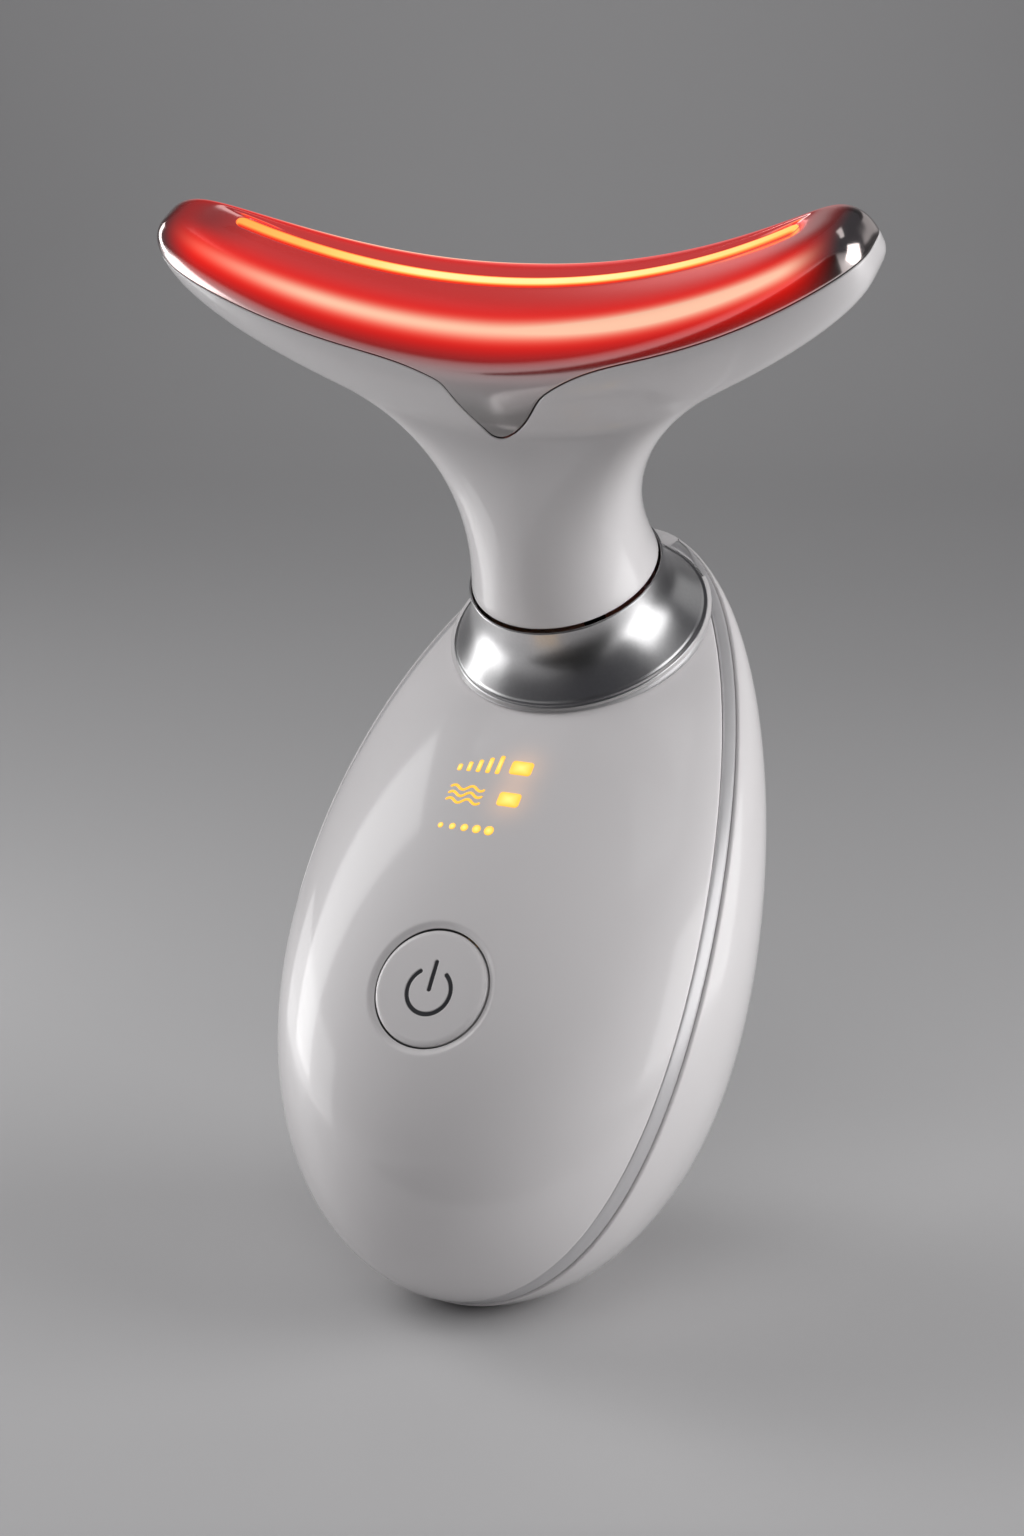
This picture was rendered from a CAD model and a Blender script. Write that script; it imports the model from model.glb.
"""Looks of the hand-held neck massager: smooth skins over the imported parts, plating, lamps and light."""
import math
import bmesh
import bpy
import numpy as np
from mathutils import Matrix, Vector


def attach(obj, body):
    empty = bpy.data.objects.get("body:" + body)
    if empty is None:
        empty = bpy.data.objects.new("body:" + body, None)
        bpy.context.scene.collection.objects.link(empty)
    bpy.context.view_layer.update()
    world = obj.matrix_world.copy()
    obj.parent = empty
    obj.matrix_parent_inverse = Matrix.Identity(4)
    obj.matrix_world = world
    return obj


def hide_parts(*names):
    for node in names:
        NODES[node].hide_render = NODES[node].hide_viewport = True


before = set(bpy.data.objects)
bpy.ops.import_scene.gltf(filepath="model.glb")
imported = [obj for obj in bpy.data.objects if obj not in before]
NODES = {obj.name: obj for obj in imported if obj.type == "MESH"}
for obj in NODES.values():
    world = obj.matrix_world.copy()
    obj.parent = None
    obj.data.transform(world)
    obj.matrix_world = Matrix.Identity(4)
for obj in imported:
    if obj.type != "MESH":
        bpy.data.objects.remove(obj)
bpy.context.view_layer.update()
MM = 0.001

# Sizes in millimetres, the same as in the part's source.
BODY_W, BODY_D, BODY_H, BODY_LEAN, BEND = 61.5, 49.5, 91.8, 39.6, 9.0
EGG_MID = 0.489 * BODY_H
EGG_HALF = BODY_H - EGG_MID
SPLIT_LOW, SPLIT_TOP, TRIM_W, TRIM_GROW, TRIM_SINK = -16.2, 39.8, 1.8, 1.5, 0.25
NECK_LEAN, NECK_R, COLLAR_R, COLLAR_H, LIP_Z = 31.25, 12.25, 16.9, 9.0, 0.3
BUTTON_Z, BUTTON_R = 44.0, 7.3
HEAD_SPAN, HEAD_D, HEAD_H, STRIP_R, STRIP_L, STRIP_W, STRIP_Y = 91.6, 22.2, 47.2, 86.0, 73.0, 2.0, 7.3
SLOT_W, SLOT_L = STRIP_W + 0.3, STRIP_L + 0.5
STRAIGHT = (SLOT_L - SLOT_W) / 2


# Shape functions
def unit(v):
    return v / np.maximum(np.linalg.norm(v, axis=-1, keepdims=True), 1e-12)


def egg(z):
    """Half width, half depth and middle of the body's level slice at height z."""
    t = (z - EGG_MID) / EGG_HALF
    r = np.sqrt(np.clip(1 - t * t, 0, None))
    mid = BODY_LEAN * (np.clip(z - BEND, 0, None) / (BODY_H - BEND)) ** 2
    return BODY_W / 2 * r * (1 - 0.03 * t), BODY_D / 2 * r * (1 - 0.6 * t), mid


def egg_normal(p):
    """Outward normal of the body's skin at points p."""
    def level(q):
        w, d, m = egg(np.clip(q[..., 2], EGG_MID - EGG_HALF + 0.02, BODY_H - 0.02))
        return (q[..., 0] / w) ** 2 + ((q[..., 1] - m) / d) ** 2
    h = 0.01
    grad = [level(p + h * e) - level(p - h * e) for e in np.eye(3)]
    n = unit(np.stack(grad, -1))
    return n


def band_y(z, side, gap=0.0):
    grow = TRIM_GROW * np.clip(1 - z / BODY_H, 0, None) ** 2 if side > 0 else 0
    split = SPLIT_LOW + (SPLIT_TOP - SPLIT_LOW) * ((z + 2) / (BODY_H + 2)) ** 2
    return split + side * (TRIM_W / 2 + gap) + grow


def rings(line, tau, low=-1.9):
    """Loops in which the skin meets the surfaces y = line(z), one row each, at angles tau round each loop."""
    zz = np.linspace(low, BODY_H - 0.005, 3000)
    w, d, m = egg(zz)
    inside = np.atleast_2d(np.abs(line(zz[None, :]) - m) <= d)
    first = inside.argmax(1)
    last = len(zz) - 1 - inside[:, ::-1].argmax(1)
    ends = []
    for at, other in ((first, -1), (last, 1)):
        a, b = zz[at][:, None], zz[np.clip(at + other, 0, len(zz) - 1)][:, None]
        for _ in range(30):
            c = (a + b) / 2
            w, d, m = egg(c)
            ok = np.abs(line(c) - m) <= d
            a, b = np.where(ok, c, a), np.where(ok, b, c)
        ends.append(a)
    z = (ends[0] + ends[1]) / 2 - (ends[1] - ends[0]) / 2 * np.cos(tau)
    w, d, m = egg(z)
    y = line(z)
    x = w * np.sqrt(np.clip(1 - ((y - m) / np.maximum(d, 1e-9)) ** 2, 0, None)) * np.where(np.sin(tau) >= 0, 1, -1)
    return np.squeeze(np.stack([x, y, z], -1))


def loops(side, depth, tau):
    """Loops on the skin that lie a depth behind the band's front edge (side -1) or rear edge (side 1)."""
    depth = np.asarray(depth, float)[:, None]
    return rings(lambda z: band_y(z, side, 0.05) + side * depth, tau).reshape(len(depth), len(tau), 3)


LEAN = math.radians(NECK_LEAN)
EGG_NECK = egg(np.array([BODY_H - 11.0]))[2][0]
NECK_AT = np.array([0, EGG_NECK - 5.8, BODY_H - 11.0])
NECK = np.array([[1, 0, 0], [0, math.cos(LEAN), math.sin(LEAN)], [0, -math.sin(LEAN), math.cos(LEAN)]])


def from_neck(p):
    return NECK_AT + p @ NECK


def to_neck(p):
    return (p - NECK_AT) @ NECK.T


def front_y(z):
    _, d, m = egg(np.array([float(z)]))
    return float(m[0] - d[0])


TILT = math.atan((front_y(BUTTON_Z + 0.1) - front_y(BUTTON_Z - 0.1)) / 0.2)
BUTTON_AT = np.array([0, front_y(BUTTON_Z), BUTTON_Z])
BUTTON = np.array([[1, 0, 0], [0, math.sin(TILT), math.cos(TILT)], [0, -math.cos(TILT), math.sin(TILT)]])


def from_button(p):
    return BUTTON_AT + p @ BUTTON


def to_button(p):
    return (p - BUTTON_AT) @ BUTTON.T


def skin_under(xy):
    """Depth z of the front skin at x, y of the button's frame."""
    lo, hi = np.full(len(xy), -14.0), np.full(len(xy), 0.5)
    for _ in range(40):
        mid = (lo + hi) / 2
        p = from_button(np.column_stack([xy, mid]))
        w, d, m = egg(p[:, 2])
        out = (p[:, 0] / w) ** 2 + ((p[:, 1] - m) / d) ** 2 > 1
        hi, lo = np.where(out, mid, hi), np.where(out, lo, mid)
    return (lo + hi) / 2


def spow(v, p):
    return np.sign(v) * np.abs(v) ** p


def rim(a):
    x = HEAD_SPAN / 2 * spow(np.cos(a), 1.4)
    return np.stack([x, 6.2 + HEAD_D / 2 * spow(np.sin(a), 0.54), HEAD_H - 8.8 + 0.0067 * x * x], -1)


def arc_z(x):
    return HEAD_H + STRIP_R - np.sqrt(STRIP_R ** 2 - x * x)


def slot_edge(a):
    x = SLOT_L / 2 * spow(np.cos(a), 1.4)
    e = np.clip(1 - (SLOT_L / 2 - np.abs(x)) / (SLOT_W / 2), 0, 1)
    side = np.sign(np.round(1000 * np.sin(a)))
    return np.stack([x, STRIP_Y + SLOT_W / 2 * side * np.sqrt(1 - e * e), arc_z(x)], -1)


UP = np.array([0, -math.sin(math.radians(22)), math.cos(math.radians(22))])


def head_skin(a, s):
    """Head skin in the neck's frame: s runs from the neck's ring (0) over the widest outline (1) to the slot (2)."""
    ring = np.stack([NECK_R * np.cos(a), NECK_R * np.sin(a), np.full_like(a, COLLAR_H + 0.3)], -1)
    edge, top = rim(a), slot_edge(a)
    pull = 85.0 * np.stack([-0.24 * np.cos(a), -0.24 * np.sin(a) + 0.07, np.ones_like(a)], -1)
    flat = top - edge
    flat = unit(flat - (flat @ UP)[..., None] * UP)
    low = s <= 1
    t = np.where(low, s, s - 1)[..., None]
    one = np.where(low[..., None], ring, edge)
    two = np.where(low[..., None], edge, top)
    go = np.where(low[..., None], pull, 37.0 * UP)
    stop = np.where(low[..., None], 36.0 * UP, 1.4 * flat)
    return ((2 * t ** 3 - 3 * t ** 2 + 1) * one + (t ** 3 - 2 * t ** 2 + t) * go
            + (3 * t ** 2 - 2 * t ** 3) * two + (t ** 3 - t ** 2) * stop)


def head_normal(a, s):
    da, ds = 0.004, 0.004
    s1, s0 = np.minimum(s + ds, 2), np.maximum(s - ds, 0)
    return unit(np.cross(head_skin(a + da, s) - head_skin(a - da, s), head_skin(a, s1) - head_skin(a, s0)))


def seam(a):
    """Where the line between housing and cap runs, with its tongue down the front of the neck."""
    x = rim(a)[..., 0]
    tongue = 0.43 / (1 + np.exp((-5.15 - x) / 0.31)) * np.exp(-(np.clip(x + 5.15, 0, None) / 7.4) ** 3)
    brow = 0.2 * np.exp(-((x - 1.3) / 8.8) ** 2) + 0.0011 * x * (1 - (2 * x / HEAD_SPAN) ** 2)
    return 1.063 + np.where(np.sin(a) < 0, -0.13 * np.sin(a) - tongue - brow, 0)


# Mesh helpers
def lathe(profile, steps=192, arc=2 * math.pi):
    """A profile of (radius, height) points spun about the Z axis."""
    bm = bmesh.new()
    pts = [bm.verts.new((r, 0, h)) for r, h in profile]
    edges = [bm.edges.new(e) for e in zip(pts, pts[1:])]
    bmesh.ops.spin(bm, geom=pts + edges, cent=(0, 0, 0), axis=(0, 0, 1), angle=arc, steps=steps, use_merge=arc > 6)
    bmesh.ops.remove_doubles(bm, verts=bm.verts[:], dist=1e-4)
    return bm


def place(bm, fn):
    for v, p in zip(bm.verts, fn(np.array([v.co[:] for v in bm.verts]))):
        v.co = p
    return bm


def join(*parts):
    out = parts[0]
    for part in parts[1:]:
        me = bpy.data.meshes.new("part")
        part.to_mesh(me)
        out.from_mesh(me)
        bpy.data.meshes.remove(me)
    return out


def piece(name, bm, finish, body="body", replaces=()):
    """Ends a bmesh in millimetres as an object in metres that rides on a body."""
    bm.normal_update()
    bmesh.ops.scale(bm, vec=(MM, MM, MM), verts=bm.verts[:])
    me = bpy.data.meshes.new(name)
    bm.to_mesh(me)
    bm.free()
    for p in me.polygons:
        p.use_smooth = True
    me.materials.append(finish.material)
    o = bpy.data.objects.new(name, me)
    bpy.context.scene.collection.objects.link(o)
    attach(o, body)
    if replaces:
        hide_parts(*replaces)


def sheet(points, gaps=(), **marks):
    """A welded sheet from an array of rows by columns by 3, with named numbers kept on its points.

    gaps names the rows that lie down inside a joint.
    """
    rows, cols = points.shape[:2]
    if gaps:
        marks["gap"] = np.zeros((rows, cols))
        marks["gap"][list(gaps)] = 1
    bm = bmesh.new()
    bmesh.ops.create_grid(bm, x_segments=cols - 1, y_segments=rows - 1, size=0.5)
    layers = {name: bm.verts.layers.float.new(name) for name in marks}
    for v in list(bm.verts):
        at = round((v.co.y + 0.5) * (rows - 1)), round((v.co.x + 0.5) * (cols - 1))
        v.co = points[at]
        for name, layer in layers.items():
            v[layer] = marks[name][at]
    bmesh.ops.remove_doubles(bm, verts=bm.verts[:], dist=2e-4)
    return bm


def turned_edge(edge, normal, along, radius, wall, steps=4):
    """Rows that round a sheet's edge over and run down its wall, from the wall's end up to the edge."""
    rows = [edge - (radius + wall) * normal + radius * along]
    for k in range(steps, 0, -1):
        f = math.pi / 2 * k / steps
        rows.append(edge + radius * ((math.cos(f) - 1) * normal + math.sin(f) * along))
    return np.array(rows)


def boundary(bm, test):
    """Edges of the sheet's open boundary whose two points pass a test."""
    return [e for e in bm.edges if e.is_boundary and all(test(v) for v in e.verts)]


def carry(bm, edges, spot):
    """Extrudes open edges once and moves each new point to where spot sends it; gives the new edges."""
    new = bmesh.ops.extrude_edge_only(bm, edges=edges)["geom"]
    verts = [g for g in new if isinstance(g, bmesh.types.BMVert)]
    for v, p in zip(verts, spot(np.array([v.co[:] for v in verts]))):
        v.co = p
    return [g for g in new if isinstance(g, bmesh.types.BMEdge) and all(v in verts for v in g.verts)]


# Body shells
EDGE_R, EDGE_WALL = 0.3, 1.4
SEAT_R = COLLAR_R + 0.2
TAU = np.linspace(0, 2 * math.pi, 421)
HUB = np.array([0.0, 7.0, 40.0])


def outside(p):
    """Which of the points p lie outside the egg."""
    w, d, m = egg(p[..., 2])
    return (p[..., 0] / np.maximum(w, 1e-6)) ** 2 + ((p[..., 1] - m) / np.maximum(d, 1e-6)) ** 2 > 1


def out_to_skin(way):
    """Where rays from the middle of the body, one for each unit vector, meet its skin."""
    near, far = np.full(way.shape[:-1], 4.0), np.full(way.shape[:-1], 90.0)
    for _ in range(45):
        mid = (near + far) / 2
        out = outside(HUB + mid[..., None] * way)
        far, near = np.where(out, mid, far), np.where(out, near, mid)
    return HUB + ((near + far) / 2)[..., None] * way


def shell_skin(side, rows, hole, inner):
    """One shell's skin: rows of points from the band's edge, which is turned in, to a hole's brim and on into it.

    hole gives the brim's points that lie on the same side of it as the edge's points; inner gives the rows past it.
    """
    edge = loops(side, [EDGE_R], TAU)[0]
    around = loops(side, [EDGE_R], TAU + 0.01)[0] - loops(side, [EDGE_R], TAU - 0.01)[0]
    normal = egg_normal(edge)
    along = unit(np.cross(around, normal))
    along *= np.sign(np.sum(along * (loops(side, [0.0], TAU)[0] - edge), -1))[:, None]
    brim = hole(edge)
    start, stop = unit(edge - HUB), unit(brim - HUB)
    turn = np.arccos(np.clip(np.sum(start * stop, -1), -1, 1))[None, :, None]
    e = np.linspace(0, 1, rows)[:, None, None]
    way = (np.sin((1 - e) * turn) * start + np.sin(e * turn) * stop) / np.sin(turn)
    skin = out_to_skin(way)
    skin[-1] = brim
    rows = [turned_edge(edge, normal, along, EDGE_R, EDGE_WALL), skin, inner(brim)]
    return sheet(np.concatenate(rows), [0, -1, -2])


def cut_top(bm):
    """Cuts a shell off level under the collar."""
    bmesh.ops.bisect_plane(bm, geom=bm.verts[:] + bm.edges[:] + bm.faces[:], dist=1e-5,
                           plane_co=from_neck(np.array([0, 0, LIP_Z])), plane_no=NECK[2], clear_outer=True)


def seat_lip(bm):
    """Carries the cut edge level to the collar's seat and down into it, with a rounded brim."""
    def on_cut(v):
        p = np.array(v.co[:])
        w, d, m = egg(np.array([p[2]]))
        level = (p[0] / w[0]) ** 2 + ((p[1] - m[0]) / d[0]) ** 2
        return abs(to_neck(p)[2] - LIP_Z) < 1e-3 and level > 0.95

    def ring(r, h):
        def spot(co):
            q = to_neck(co)
            k = r / np.hypot(q[:, 0], q[:, 1])
            return from_neck(np.column_stack([q[:, 0] * k, q[:, 1] * k, np.full(len(q), h)]))
        return spot
    edges = boundary(bm, on_cut)
    for f in range(5):
        t = math.pi / 2 * f / 4
        edges = carry(bm, edges, ring(SEAT_R + 0.25 * (1 - math.sin(t)), LIP_Z - 0.25 * (1 - math.cos(t))))
    carry(bm, edges, ring(SEAT_R, -3.0))


DISH_R, DISH_IN, DISH_DEEP = 8.45, 7.52, 0.44


def dish_ring(q, r, sink):
    """A ring round the button a depth under the skin, in the directions of the points q of the button's frame."""
    xy = q[:, :2] * (r / np.hypot(q[:, 0], q[:, 1]))[:, None]
    return from_button(np.column_stack([xy, skin_under(xy) - sink]))


def button_hole(edge):
    return dish_ring(to_button(edge), DISH_R, 0)


def button_dish(brim):
    """The soft dish round the button and the wall that runs down beside it."""
    q = to_button(brim)
    steps = np.linspace(0, 1, 9)[1:]
    rows = [dish_ring(q, DISH_R + (DISH_IN - DISH_R) * t, DISH_DEEP * (3 * t * t - 2 * t ** 3)) for t in steps]
    rows += [dish_ring(q, DISH_IN - 0.02, DISH_DEEP + 0.12), dish_ring(q, DISH_IN - 0.02, 2.4)]
    return np.array(rows)


PORT_Z, PORT_HALF, PORT_R, PORT_ROUND = 16.0, 2.9, 1.9, 0.3


def port_ring(q, r, sink):
    """The ring a radius r round the charging socket's middle line, nearest to the points q, sunk under the skin."""
    middle = np.clip(q[:, 0], -PORT_HALF, PORT_HALF)
    dx, dz = q[:, 0] - middle, q[:, 2] - PORT_Z
    k = r / np.maximum(np.hypot(dx, dz), 1e-6)
    x, z = middle + dx * k, PORT_Z + dz * k
    w, d, m = egg(z)
    return np.column_stack([x, m + d * np.sqrt(np.clip(1 - (x / w) ** 2, 0, None)) - sink, z])


def port_hole(edge):
    dx, dz = edge[:, 0], edge[:, 2] - PORT_Z
    near, far = np.zeros(len(edge)), np.full(len(edge), 9.0)
    away = np.hypot(dx, dz)
    for _ in range(40):
        k = (near + far) / 2
        x, z = dx / away * k, dz / away * k
        out = np.hypot(np.clip(np.abs(x) - PORT_HALF, 0, None), z) > PORT_R
        far, near = np.where(out, k, far), np.where(out, near, k)
    return port_ring(np.column_stack([dx / away * far, 0 * dx, PORT_Z + dz / away * far]), PORT_R + PORT_ROUND, 0)


def port_mouth(brim):
    """The rounded brim and the wall of the opening for the charging socket."""
    turns = np.linspace(0, math.pi / 2, 6)[1:]
    rows = [port_ring(brim, PORT_R + PORT_ROUND * (1 - math.sin(f)), PORT_ROUND * (1 - math.cos(f))) for f in turns]
    return np.array(rows + [port_ring(brim, PORT_R, 1.6)])


def foot(bm):
    """Cuts the egg's lower end off level and closes it with the face it rests on."""
    bmesh.ops.bisect_plane(bm, geom=bm.verts[:] + bm.edges[:] + bm.faces[:], dist=1e-5,
                           plane_co=(0, 0, 0), plane_no=(0, 0, 1), clear_inner=True)
    edges = boundary(bm, lambda v: abs(v.co.z) < 1e-4)
    face = bmesh.ops.contextual_create(bm, geom=edges)["faces"]
    bmesh.ops.inset_region(bm, faces=face, thickness=0.5, use_even_offset=True)


def front_shell():
    bm = shell_skin(-1, 110, button_hole, button_dish)
    cut_top(bm)
    seat_lip(bm)
    return bm


def rear_shell():
    bm = shell_skin(1, 170, port_hole, port_mouth)
    cut_top(bm)
    seat_lip(bm)
    foot(bm)
    return bm


def band_end():
    """The band's level end round the collar's seat, just under the shells' own lips."""
    turn = np.linspace(0, 2 * math.pi, 361)
    near, far, h = np.full(len(turn), SEAT_R), np.full(len(turn), 60.0), LIP_Z - 0.03
    for _ in range(40):
        r = (near + far) / 2
        out = outside(from_neck(np.column_stack([r * np.cos(turn), r * np.sin(turn), np.full(len(turn), h)])))
        far, near = np.where(out, r, far), np.where(out, near, r)
    rim = np.maximum(r - 0.3, SEAT_R + 0.02)
    rows = [(rim, h - 0.8), (rim, h), ((rim + SEAT_R) / 2, h), (0 * rim + SEAT_R, h), (0 * rim + SEAT_R, -3.0)]
    points = [np.column_stack([r * np.cos(turn), r * np.sin(turn), np.full(len(turn), z)]) for r, z in rows]
    return place(sheet(np.array(points)), from_neck)


def trim_band():
    """The metal band between the shells: a rounded strip that lies a little under the skin."""
    profile = [(0, 1.4, 0), (0, 0.5, 0), (0, 0.38, 0.02), (0, 0.3, 0.07), (0, TRIM_SINK, 0.18),
               (0.3, TRIM_SINK - 0.03, 0), (0.7, TRIM_SINK - 0.03, 0), (1, TRIM_SINK, -0.25),
               (1, 0.32, -0.1), (1, 0.45, -0.02), (1, 0.6, 0), (1, 1.4, 0)]
    rows = []
    for t, sink, shift in profile:
        def line(z, t=t, shift=shift):
            return band_y(z, -1, -0.05) * (1 - t) + band_y(z, 1, -0.05) * t + shift
        ring = rings(line, TAU)
        rows.append(ring - sink * egg_normal(ring))
    bm = sheet(np.array(rows))
    cut_top(bm)
    return join(bm, band_end())


def collar():
    """The concave metal skirt between body and neck, with a fine lip at each end."""
    profile = [(COLLAR_R, -3.0), (COLLAR_R, 0.1)]
    for f in np.linspace(0.3, math.pi / 2, 5):
        profile.append((COLLAR_R - 0.22 * (1 - math.cos(f)), 0.1 + 0.4 * math.sin(f)))
    profile += [(COLLAR_R - 0.42, 0.52), (COLLAR_R - 0.55, 0.62)]
    low, high = np.array([COLLAR_R - 0.62, 0.8]), np.array([NECK_R + 0.42, COLLAR_H - 0.28])
    for t in np.linspace(0, 1, 40):
        r, h = low + (high - low) * t
        profile.append((r - 0.9 * math.sin(math.pi * t), h))
    profile += [(NECK_R + 0.42, COLLAR_H - 0.16), (NECK_R + 0.4, COLLAR_H - 0.06), (NECK_R + 0.33, COLLAR_H),
                (NECK_R + 0.18, COLLAR_H), (NECK_R + 0.11, COLLAR_H - 0.07), (NECK_R + 0.11, COLLAR_H - 2.0)]
    return place(lathe(profile), from_neck)


# Head
SEAM_HALF, SEAM_R = 0.08, 0.16
NECK_DROP = 0.16  # how far the housing's lower edge reaches down towards the collar


def head_columns():
    """Angles round the head whose points stand evenly along the line between housing and cap."""
    halves = []
    for start in (0.0, math.pi):
        fine = np.linspace(start, start + math.pi, 20001)
        run = head_skin(fine, seam(fine))
        gone = np.concatenate([[0], np.cumsum(np.linalg.norm(np.diff(run, axis=0), axis=-1))])
        halves.append(np.interp(np.linspace(0, gone[-1], 301), gone, fine))
    return np.concatenate([halves[0], halves[1][1:]])


HEAD_A = head_columns()


def beside(a, s, distance):
    """A curve that runs beside the curve s(a) at a distance, above it where that is positive, and its way out."""
    h = 0.0005
    run = unit(head_skin(a + h, s(a + h)) - head_skin(a - h, s(a - h)))
    da = (head_skin(a + h, s(a)) - head_skin(a - h, s(a))) / (2 * h)
    top = np.minimum(s(a) + h, 2.0)
    ds = (head_skin(a, top) - head_skin(a, top - 2 * h)) / (2 * h)
    out = np.cross(unit(np.cross(da, ds)), run)
    out *= np.sign(np.sum(out * ds, -1))[:, None]
    aa, ab, bb = (np.sum(u * v, -1) for u, v in ((da, da), (da, ds), (ds, ds)))
    pa, pb = np.sum(out * da, -1) * distance, np.sum(out * ds, -1) * distance
    det = aa * bb - ab * ab
    return a + (pa * bb - pb * ab) / det, s(a) + (pb * aa - pa * ab) / det, out


def head_edge(a, s, toward, radius, wall):
    """Turned-in rows along the curve s(a) for the sheet above it (toward 1) or below (-1), and where they start."""
    aa, ss, out = beside(a, s, toward * (radius + SEAM_HALF))
    point, normal = head_skin(aa, ss), head_normal(aa, ss)
    along = -toward * out
    along = unit(along - np.sum(along * normal, -1, keepdims=True) * normal)
    return turned_edge(point, normal, along, radius, wall), aa, ss


def head_housing():
    a = HEAD_A
    top, last_a, last = head_edge(a, seam, -1, SEAM_R, 1.2)
    ring = head_skin(a, np.full_like(a, 0.004)) - np.array([0, 0, NECK_DROP])
    down = np.broadcast_to(-np.array([0, 0, 1.0]), ring.shape)
    low = turned_edge(ring, head_normal(a, np.full_like(a, 0.004)), down, 0.1, 0.5)
    e = np.linspace(0, 1, 130)[:, None]
    e = e + 0.05 * np.sin(2 * math.pi * e)
    s = 0.004 + (last - 0.004)[None, :] * e
    turn = a[None, :] + (last_a - a)[None, :] * e ** 6
    rows = [low, head_skin(turn, s), top[::-1]]
    return place(sheet(np.concatenate(rows), [0, -1, -2]), from_neck)


def head_cap():
    a = HEAD_A
    low, first_a, first = head_edge(a, seam, 1, SEAM_R, 1.2)
    end = np.full_like(a, 1.994)
    brim = head_skin(a, end)
    inward = np.column_stack([np.clip(brim[:, 0], -STRAIGHT, STRAIGHT) - brim[:, 0], STRIP_Y - brim[:, 1], 0 * a])
    normal = head_normal(a, end)
    inward = unit(inward - np.sum(inward * normal, -1, keepdims=True) * normal)
    top = turned_edge(brim, normal, inward, 0.16, 0.9)
    e = np.linspace(0, 1, 110)[:, None]
    s = first[None, :] + (end - first)[None, :] * e
    turn = a[None, :] + (first_a - a)[None, :] * (1 - e) ** 6
    rows = np.concatenate([low, head_skin(turn, s), top[::-1]])
    rise = np.concatenate([np.repeat(first[None], len(low), 0), s, np.repeat(end[None], len(top), 0)]) - 1
    return place(sheet(rows, [0, 1, -1], rise=rise, reach=rows[..., 0] / HEAD_SPAN * 2), from_neck)


def light_strip():
    """The lit strip in the crescent's slot: a long bar with round ends and a domed top."""
    half, straight = STRIP_W / 2, (STRIP_L - STRIP_W) / 2
    u = np.concatenate([-straight - half * np.cos(np.linspace(0, math.pi / 2, 12)),
                        np.linspace(-straight, straight, 241)[1:-1],
                        straight + half * np.sin(np.linspace(0, math.pi / 2, 12))])
    wide = np.sqrt(np.clip(half ** 2 - np.clip(np.abs(u) - straight, 0, None) ** 2, 0, None))
    across_strip = [(-1, -0.9), (-1, -0.12), (-0.96, 0.0), (-0.85, 0.08), (-0.6, 0.16), (-0.3, 0.21), (0, 0.22)]
    across_strip += [(-v, h) for v, h in across_strip[-2::-1]]
    rows = []
    for v, h in across_strip:
        lean = u / STRIP_R
        z = HEAD_H + STRIP_R - np.sqrt(STRIP_R ** 2 - u ** 2)
        rise = h + np.where(h > -0.5, -0.1 * (1 - wide / half), 0)
        rows.append(np.column_stack([u - rise * lean, STRIP_Y + v * wide, z + rise * np.sqrt(1 - lean ** 2)]))
    side = np.repeat(np.array([v for v, h in across_strip])[:, None], len(u), 1)
    reach = np.repeat(u[None] * 2 / STRIP_L, len(rows), 0)
    return place(sheet(np.array(rows), side=side * (wide / half), reach=reach), from_neck)


SYMBOL_AT, SYMBOL_R, SYMBOL_LINE, SYMBOL_GAP = (0.05, -0.5), 2.85, 0.28, math.radians(38)
BUTTON_ROUND, BUTTON_SINK, BUTTON_DOME = 0.85, 0.25, 90.0


def symbol_depth(x, y):
    """How far a point of the button lies outside the strokes of its on-off sign, in millimetres."""
    x, y = x - SYMBOL_AT[0], y - SYMBOL_AT[1]
    turn = np.abs(np.arctan2(x, y))
    r = np.hypot(x, y)
    ring = np.abs(r - SYMBOL_R)
    tip = np.hypot(np.abs(x) - SYMBOL_R * math.sin(SYMBOL_GAP), y - SYMBOL_R * math.cos(SYMBOL_GAP))
    bar = np.hypot(x, y - np.clip(y, 0.2, 3.65))
    return np.minimum(np.where(turn < SYMBOL_GAP, tip, ring), bar) - SYMBOL_LINE


def power_button():
    """The button's cap: a flat dome with a rounded edge and the sunk on-off sign."""
    flat = BUTTON_R - BUTTON_ROUND
    radii = np.concatenate([np.linspace(0, 4.2, 90), np.linspace(4.2, flat, 16)[1:]])
    turn = np.linspace(0, 2 * math.pi, 361)
    rows, sign = [], []
    for r in radii:
        x, y = r * np.sin(turn), r * np.cos(turn)
        cut = np.clip(0.5 - symbol_depth(x, y) / 0.1, 0, 1)
        cut = cut * cut * (3 - 2 * cut)
        z = math.sqrt(BUTTON_DOME ** 2 - r * r) - BUTTON_DOME - BUTTON_SINK - 0.16 * cut
        rows.append(np.column_stack([x, y, z + 0 * x]))
        sign.append(cut)
    top = rows[-1][0, 2]
    for f in np.linspace(0, math.pi / 2, 12)[1:]:
        r = flat + BUTTON_ROUND * math.sin(f)
        rows.append(np.column_stack([r * np.sin(turn), r * np.cos(turn), top - 0.6 * (1 - math.cos(f)) + 0 * turn]))
    flange = BUTTON_R + 0.9
    for r, z in ((BUTTON_R, -3.3), (flange, -3.3), (flange, -4.0), (1.5, -4.0), (1.5, -5.2), (0, -5.2)):
        rows.append(np.column_stack([r * np.sin(turn), r * np.cos(turn), z + 0 * turn]))
    sign += [0 * turn] * (len(rows) - len(sign))
    return place(sheet(np.array(rows), sign=np.array(sign)), from_button)


LAMP_X, LAMP_ROWS, LAMP_W, LAMP_H, LAMP_PITCH = 2.0, (30.1, 25.5), 3.0, 2.0, 4.6


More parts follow.
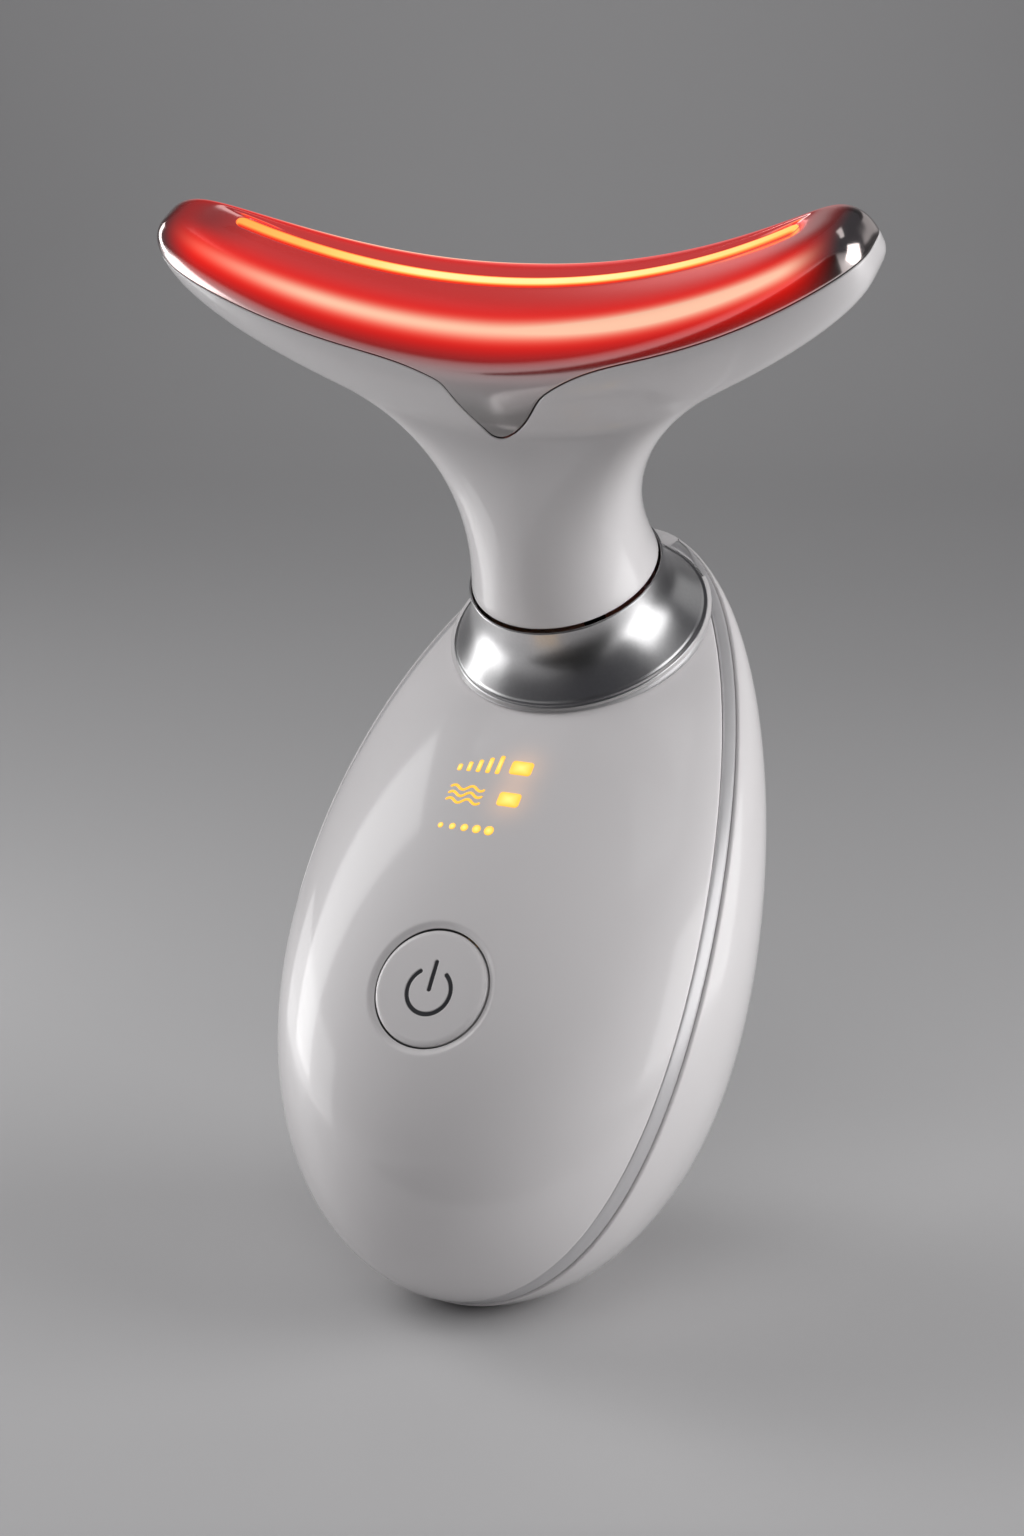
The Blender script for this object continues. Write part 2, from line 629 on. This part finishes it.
def on_skin(x, y, rise):
    """World points above the front skin at x, y of the button's frame."""
    xy = np.column_stack([x, y])
    p = from_button(np.column_stack([xy, skin_under(xy)]))
    return p + np.reshape(rise, (-1, 1)) * egg_normal(p)


def pill(cx, cy, width, height, corner, rise, deep, turn=0.0, steps=6):
    """A low domed pad with rounded corners on the front skin."""
    arc = np.linspace(0, math.pi / 2, steps)
    hx, hy = width / 2 - corner, height / 2 - corner
    outline = [(sx * hx, sy * hy, f + k * math.pi / 2)
               for k, (sx, sy) in enumerate(((1, 1), (-1, 1), (-1, -1), (1, -1))) for f in arc]
    outline.append(outline[0])
    ox, oy, of = np.array(outline).T
    rows, inward = [], []
    for keep, up in ((1, -deep), (1, -0.02), (0.97, rise * 0.4), (0.88, rise * 0.75), (0.7, rise * 0.93),
                     (0.4, rise), (0, rise)):
        x, y = keep * (ox + corner * np.cos(of)), keep * (oy + corner * np.sin(of))
        x, y = x * math.cos(turn) - y * math.sin(turn), x * math.sin(turn) + y * math.cos(turn)
        rows.append(on_skin(cx + x, cy + y, np.full(len(x), up)))
        inward.append(np.full(len(x), 1.0 - keep))
    return sheet(np.array(rows), inward=np.array(inward))


def lamp_windows():
    return join(*[pill(LAMP_X, y, LAMP_W, LAMP_H, 0.45, 0.12, 1.2) for y in LAMP_ROWS])


def stroke(path, line=0.36):
    """A raised line on the front skin that follows a function path(t) of x and y."""
    t = np.linspace(0, 1, 40)
    x, y = path(t)
    dx, dy = np.gradient(x), np.gradient(y)
    run = np.hypot(dx, dy)
    nx, ny = -dy / run, dx / run
    end = np.sqrt(np.clip(1 - np.clip(np.abs(t - 0.5) * 2 * 20 - 19, 0, 1) ** 2, 0, 1))
    rows = []
    for side, up in ((-1, -0.15), (-1, 0.0), (-0.6, 0.05), (0, 0.06), (0.6, 0.05), (1, 0.0), (1, -0.15)):
        rows.append(on_skin(x + nx * side * line / 2 * end, y + ny * side * line / 2 * end, np.full(len(t), up)))
    return sheet(np.array(rows), inward=np.zeros((len(rows), len(t))))


def mode_marks():
    """Plain pictures in three rows beside and below the lamps: rising bars, waves and growing dots."""
    parts = []
    for k in range(5):
        parts.append(pill(-6.4 + 1.35 * k, 29.35 + 0.22 * k, 0.62, 1.0 + 0.44 * k, 0.22, 0.06, 0.15))
    for k in range(3):
        parts.append(stroke(lambda t, k=k: (-6.6 + 5.0 * t, 24.55 + 0.95 * k + 0.3 * np.sin(4 * math.pi * t))))
    for k in range(5):
        parts.append(pill(-5.8 + 1.7 * k, 20.9, 0.75 + 0.14 * k, 0.75 + 0.14 * k, 0.37 + 0.07 * k, 0.06, 0.15))
    return join(*parts)


# Finishes
class Value:
    """A shader socket that takes part in Python sums."""
    def __init__(self, finish, socket):
        self.finish, self.socket = finish, socket

    def calc(self, operation, *others):
        return self.finish.node("ShaderNodeMath", {"operation": operation}, dict(enumerate((self,) + others)))

    def __add__(self, other):
        return self.calc("ADD", other)

    def __mul__(self, other):
        return self.calc("MULTIPLY", other)

    def __sub__(self, other):
        return self.calc("SUBTRACT", other)

    def __rsub__(self, other):
        return self * -1 + other

    def __truediv__(self, other):
        return self.calc("DIVIDE", other)

    def bell(self, centre, width):
        """1 where this value is at the centre, falling to 0 round it."""
        away = (self - centre) / width
        return (away * away * -1).calc("EXPONENT")

    def rise(self, low, high):
        """Smooth step from 0 at low to 1 at high."""
        return self.finish.node("ShaderNodeMapRange", {"interpolation_type": "SMOOTHSTEP"},
                                {"Value": self, "From Min": low, "From Max": high})

    __radd__, __rmul__ = __add__, __mul__


class Finish:
    """One surface finish: a Principled shader and the nodes that vary it."""
    def __init__(self, name, **fixed):
        self.material = bpy.data.materials.new(name)
        self.material.use_nodes = True
        self.tree = self.material.node_tree
        self.shader = self.tree.nodes["Principled BSDF"]
        for key, value in fixed.items():
            self.set(key.replace("_", " ").title().replace("Ior", "IOR"), value)

    def set(self, socket, value):
        at = self.shader.inputs[socket]
        if isinstance(value, Value):
            self.tree.links.new(value.socket, at)
        elif at.type == "RGBA" and len(value) == 3:
            at.default_value = (*value, 1)
        else:
            at.default_value = value

    def node(self, kind, settings=None, sockets=None, out=0):
        """Adds a node: its settings first, then its sockets' values or links; gives one of its outputs."""
        n = self.tree.nodes.new(kind)
        for key, value in (settings or {}).items():
            if key == "stops":
                while len(n.color_ramp.elements) < len(value):
                    n.color_ramp.elements.new(0.5)
                for stop, (at, colour) in zip(n.color_ramp.elements, value):
                    stop.position, stop.color = at, (*colour, 1)
            else:
                setattr(n, key, value)
        for key, value in (sockets or {}).items():
            if isinstance(value, Value):
                self.tree.links.new(value.socket, n.inputs[key])
            else:
                n.inputs[key].default_value = value
        return Value(self, n.outputs[out])

    def place(self):
        """Object coordinates, in metres."""
        return self.node("ShaderNodeTexCoord", out="Object")

    def part(self, vector, axis):
        return self.node("ShaderNodeSeparateXYZ", None, {0: vector}, out=axis)

    def mark(self, name):
        """A number kept on the mesh's points."""
        return self.node("ShaderNodeAttribute", {"attribute_name": name}, out="Fac")

    def noise(self, scale, detail=2.0, vector=None, stretch=(1, 1, 1)):
        at = self.node("ShaderNodeMapping", None, {"Vector": vector or self.place(), "Scale": stretch})
        return self.node("ShaderNodeTexNoise", None, {"Vector": at, "Scale": scale, "Detail": detail})

    def mix(self, factor, one, two):
        """Mixes two colours."""
        def colour(c):
            return c if isinstance(c, Value) else (*c, 1)
        return self.node("ShaderNodeMix", {"data_type": "RGBA"}, {0: factor, 6: colour(one), 7: colour(two)}, out=2)

    def bump(self, height, strength, distance):
        sockets = {"Height": height, "Strength": strength, "Distance": distance}
        self.set("Normal", self.node("ShaderNodeBump", None, sockets))


def speckled(name, colour, rough, spread=0.04, scale=900.0, shade=0.96, **fixed):
    """A finish whose roughness and shade wander a little, as on moulded or cast surfaces."""
    f = Finish(name, **fixed)
    fine, broad = f.noise(scale), f.noise(scale / 15)
    f.set("Roughness", fine * spread + (rough - spread / 2))
    f.set("Base Color", f.mix(broad.rise(0.3, 0.7), tuple(c * shade for c in colour), colour))
    return f


def gloss_white(name, colour=(0.77, 0.745, 0.75), rough=0.34):
    """Moulded white under a clear coat; the walls inside its joints, which its mesh marks, are dark."""
    f = speckled(name, colour, rough, spread=0.03, scale=700.0, shade=0.985, coat_weight=0.9, coat_roughness=0.09)
    base = Value(f, f.shader.inputs["Base Color"].links[0].from_socket)
    f.set("Base Color", f.mix(f.mark("gap"), base, (0.02, 0.02, 0.02)))
    return f


def lit_shell():
    """The front shell's white, with a faint amber glow of the lamps in the plastic round them."""
    f = gloss_white("front_white")
    glow = 0
    for y in LAMP_ROWS:
        lamp = on_skin([LAMP_X], [y], [0])[0] * MM
        away = f.node("ShaderNodeVectorMath", {"operation": "DISTANCE"}, {0: f.place(), 1: tuple(lamp)}, out=1)
        glow = away.bell(0.0, 0.0026) + glow
    f.set("Emission Strength", 0.22)
    f.set("Emission Color", f.mix(glow, (0.0, 0.0, 0.0), (1.0, 0.42, 0.10)))
    return f


def satin_metal(name, colour, rough, streak, grain=260.0, spread=0.06, relief=0.02, metallic=1.0):
    """Plated or silver-painted surface with fine drawn streaks along one direction."""
    f = Finish(name, metallic=metallic)
    lines = f.noise(grain, 3.0, stretch=streak)
    f.set("Roughness", lines * spread + (rough - spread / 2))
    f.set("Base Color", f.mix(lines.rise(0.3, 0.7), tuple(c * 0.96 for c in colour), colour))
    f.bump(lines, relief, 0.00002)
    return f


def crescent_plating():
    """Rose-silver plating of the crescent, with the broad red glow along its front."""
    f = Finish("crescent_plating", metallic=1.0, emission_strength=1.0)
    x, v = f.mark("reach"), f.mark("rise")
    line = x * -0.052 - x * x * 0.115 + 0.462
    off = v - line
    far = x.calc("ABSOLUTE")
    core = off.bell(0.0, 0.062) * (far.rise(0.97, 0.45) + x.rise(0.0, 0.5) * far.rise(0.96, 0.8) * 0.8)
    halo = off.bell(-0.015, 0.168) * far.rise(0.96, 0.82)
    above = off.rise(-0.1, 0.2) * far.rise(0.95, 0.70)
    glow = f.mix(core, (1.0, 0.010, 0.005), (1.0, 0.58, 0.40))
    wash = f.mix(above, (0.0, 0.0, 0.0), (0.50, 0.026, 0.024))
    f.set("Emission Color", f.mix(halo, wash, glow))
    low = f.mix(v.rise(0.15, -0.1), (0.62, 0.59, 0.59), (0.36, 0.345, 0.34))
    tint = f.mix(above, f.mix(far.rise(0.5, 0.9), low, (0.90, 0.80, 0.78)), (0.86, 0.50, 0.49))
    plate = f.mix(halo, tint, (0.60, 0.02, 0.015))
    f.set("Base Color", f.mix(f.mark("gap"), plate, (0.02, 0.015, 0.015)))
    f.set("Roughness", f.noise(800.0) * 0.04 + 0.14)
    return f


def strip_light():
    """The lit strip: yellow-white along its middle, orange and red at its edges and its ends."""
    f = Finish("strip_light", roughness=0.3, emission_strength=1.0)
    edge, x = f.mark("side").calc("ABSOLUTE"), f.mark("reach")
    end = x.calc("ABSOLUTE")
    hot = (edge * -1 + 1).rise(-0.1, 0.6) * (end.rise(1.0, 0.3) * 0.36 + 0.56)
    hot = hot + x.rise(0.3, 0.9) * 0.2 + f.noise(160.0) * 0.12 - 0.06
    stops = [(0.0, (0.62, 0.006, 0.004)), (0.25, (0.95, 0.05, 0.01)), (0.5, (1.0, 0.30, 0.04)),
             (0.75, (1.0, 0.58, 0.14)), (1.0, (1.0, 0.90, 0.45))]
    f.set("Emission Color", f.node("ShaderNodeValToRGB", {"stops": stops}, {0: hot}))
    f.set("Base Color", f.mix(hot, (0.3, 0.02, 0.01), (0.5, 0.3, 0.1)))
    return f


def amber(name, strength):
    """Lit amber, brighter towards the middle of each lamp."""
    f = Finish(name, roughness=0.3, emission_strength=strength)
    hot = f.mark("inward") * 0.9 + f.noise(400.0) * 0.2
    f.set("Emission Color", f.mix(hot, (1.0, 0.48, 0.03), (1.0, 0.84, 0.26)))
    f.set("Base Color", f.mix(hot, (0.6, 0.3, 0.03), (0.7, 0.4, 0.06)))
    return f


def button_white():
    """The button's white, with the sunk sign darkened by its own mesh attribute."""
    f = Finish("button_white", coat_weight=0.9, coat_roughness=0.09)
    sign = f.mark("sign")
    f.set("Base Color", f.mix(sign, (0.77, 0.745, 0.75), (0.05, 0.05, 0.055)))
    f.set("Roughness", f.noise(700.0) * 0.03 + sign * 0.2 + 0.24)
    return f


shell_white = gloss_white("shell_white")
head_white = gloss_white("head_white")
band_metal = satin_metal("band_metal", (0.66, 0.65, 0.66), 0.36, (1, 1, 0.12), metallic=0.45)
collar_metal = satin_metal("collar_metal", (0.78, 0.775, 0.78), 0.29, (1, 1, 1), 2500.0, 0.03, 0.008)
INNER = {
    "seal_rubber": speckled("seal_rubber", (0.02, 0.02, 0.02), 0.6),
    "grey_plastic": speckled("grey_plastic", (0.42, 0.43, 0.44), 0.5),
    "board_green": speckled("board_green", (0.03, 0.22, 0.10), 0.4),
    "chip_black": speckled("chip_black", (0.025, 0.025, 0.03), 0.45),
    "steel": speckled("steel", (0.62, 0.62, 0.63), 0.3, metallic=1.0),
    "brass": speckled("brass", (0.70, 0.52, 0.25), 0.3, metallic=1.0),
    "cell_wrap": speckled("cell_wrap", (0.20, 0.24, 0.30), 0.35),
    "foam": speckled("foam", (0.10, 0.10, 0.10), 0.9),
    "lamp_yellow": speckled("lamp_yellow", (0.80, 0.70, 0.30), 0.3),
    "lead_red": speckled("lead_red", (0.55, 0.05, 0.04), 0.45),
}
INSIDE = {
    "neck_ring_seal": "seal_rubber", "inner_frame": "grey_plastic", "head_frame": "grey_plastic",
    "motor_clip": "grey_plastic", "switch_body": "chip_black", "switch_plunger": "grey_plastic",
    "main_board": "board_green", "port_board": "board_green", "head_board": "board_green",
    "board_parts": "chip_black", "lamp_leds": "lamp_yellow", "head_leds": "lamp_yellow",
    "frame_screws": "steel", "port_screws": "steel", "neck_screws": "steel", "motor_can": "steel",
    "motor_shaft": "steel", "motor_weight": "brass", "contact_spring": "brass", "port_socket": "steel",
    "battery": "cell_wrap", "battery_pad": "foam", "inner_leads": "lead_red", "neck_cable": "seal_rubber",
}
for name, finish in INSIDE.items():
    for at in NODES[name].material_slots:
        at.material = INNER[finish].material


piece("front_shell_skin", front_shell(), lit_shell(), replaces=["front_shell"])
piece("rear_shell_skin", rear_shell(), shell_white, replaces=["rear_shell"])
piece("trim_band_strip", trim_band(), band_metal, replaces=["trim_band"])
piece("collar_skirt", collar(), collar_metal, replaces=["collar"])
piece("head_housing_skin", head_housing(), head_white, replaces=["head_housing"])
piece("head_cap_skin", head_cap(), crescent_plating(), replaces=["head_cap"])
piece("light_strip_bar", light_strip(), strip_light(), replaces=["light_strip"])
piece("power_button_cap", power_button(), button_white(), "button", ["power_button"])
piece("lamp_lenses", lamp_windows(), amber("lamp_amber", 1.0), replaces=["lamp_windows"])
piece("mode_marks", mode_marks(), amber("mark_amber", 1.0))


# Camera, floor and light
TURN, LIFT, LENS, FAR = math.radians(26.71), math.radians(14.235), 56.25, 0.2948
AIM = Vector((math.cos(TURN) * 0.001883, math.sin(TURN) * 0.001883, 0.066635))
BACK = Vector((math.sin(TURN) * math.cos(LIFT), -math.cos(TURN) * math.cos(LIFT), math.sin(LIFT)))


def camera():
    data = bpy.data.cameras.new("camera")
    data.lens, data.sensor_width = LENS, 36.0
    data.clip_start, data.clip_end = 0.01, 20.0
    o = bpy.data.objects.new("camera", data)
    bpy.context.scene.collection.objects.link(o)
    o.location = AIM + BACK * FAR
    o.rotation_mode = "QUATERNION"
    o.rotation_quaternion = (-BACK).to_track_quat("-Z", "Y")
    bpy.context.scene.camera = o


def softbox(name, azimuth, elevation, distance, width, height, power, mirrored=True, aim=(0, 0.01, 0.06)):
    """A rectangular soft light, which polished parts mirror or not; azimuth 0 is in front, 90 to the right."""
    data = bpy.data.lights.new(name, "AREA")
    data.shape, data.size, data.size_y, data.energy = "RECTANGLE", width, height, power
    o = bpy.data.objects.new(name, data)
    bpy.context.scene.collection.objects.link(o)
    a, e = math.radians(azimuth), math.radians(elevation)
    out = Vector((math.sin(a) * math.cos(e), -math.cos(a) * math.cos(e), math.sin(e)))
    o.location = Vector(aim) + out * distance
    o.rotation_mode = "QUATERNION"
    o.rotation_quaternion = out.to_track_quat("Z", "Y")
    o.visible_glossy = mirrored


def dark_card():
    """A black card on the floor in front, seen by mirror reflections alone, that gives the metal its dark zones."""
    bm = bmesh.new()
    bmesh.ops.create_grid(bm, x_segments=1, y_segments=1, size=0.5)
    for v in bm.verts:
        side, ahead = v.co.x * 0.26, 0.36 + v.co.y * 0.60
        v.co = (side * math.cos(TURN) + ahead * math.sin(TURN), side * math.sin(TURN) - ahead * math.cos(TURN), 0.001)
    me = bpy.data.meshes.new("dark_card")
    bm.to_mesh(me)
    bm.free()
    me.materials.append(speckled("card_black", (0.01, 0.01, 0.01), 0.9).material)
    o = bpy.data.objects.new("dark_card", me)
    bpy.context.scene.collection.objects.link(o)
    o.visible_camera = o.visible_diffuse = o.visible_shadow = o.visible_transmission = False


def backdrop():
    """A pale sheet: level under the object, then curving up behind it as seen from the camera."""
    bm = bmesh.new()
    bmesh.ops.create_grid(bm, x_segments=2, y_segments=60, size=0.5)
    for v in bm.verts:
        t = v.co.y + 0.5
        level, turn = min(t / 0.5, 1) * 2.2 - 1.4, max(t - 0.5, 0) / 0.5
        ahead = level + 0.5 * math.sin(min(turn * 3, 1) * math.pi / 2)
        rise = 0.5 * (1 - math.cos(min(turn * 3, 1) * math.pi / 2)) + max(turn - 1 / 3, 0) * 3
        side = v.co.x * 6
        v.co = (side * math.cos(TURN) - ahead * math.sin(TURN), side * math.sin(TURN) + ahead * math.cos(TURN), rise)
    me = bpy.data.meshes.new("backdrop")
    bm.to_mesh(me)
    bm.free()
    for p in me.polygons:
        p.use_smooth = True
    f = Finish("backdrop_pale", roughness=0.45)
    f.set("Base Color", f.mix(f.noise(3.0), (0.50, 0.495, 0.50), (0.54, 0.535, 0.54)))
    me.materials.append(f.material)
    o = bpy.data.objects.new("backdrop", me)
    bpy.context.scene.collection.objects.link(o)


def surroundings():
    world = bpy.data.worlds.new("room")
    bpy.context.scene.world = world
    world.use_nodes = True
    ground = world.node_tree.nodes["Background"]
    ground.inputs["Color"].default_value = (0.045, 0.045, 0.05, 1)
    ground.inputs["Strength"].default_value = 1.0


camera()
backdrop()
dark_card()
surroundings()
softbox("left_softbox", -84, 22, 0.60, 0.40, 0.60, 1.75, False)
softbox("right_softbox", 108, 18, 0.60, 0.40, 0.60, 2.3, False)
softbox("front_softbox", 10, 50, 0.60, 0.40, 0.40, 0.90, False)
softbox("left_panel", -84, 16, 0.30, 0.08, 0.34, 0.20)
softbox("right_panel", 98, -2, 0.26, 0.20, 0.26, 0.30)
softbox("low_panel", -80, -8, 0.20, 0.16, 0.08, 0.05)
softbox("ceiling_panel", 60, 70, 0.45, 0.12, 0.30, 0.06)
softbox("back_panel", 152, 28, 0.40, 0.22, 0.16, 0.03)
softbox("backdrop_softbox", 26.7, 35, 0.80, 0.80, 0.40, 2.4, False, (-0.58, 1.16, 0.40))
bpy.context.scene.view_settings.view_transform = "Standard"
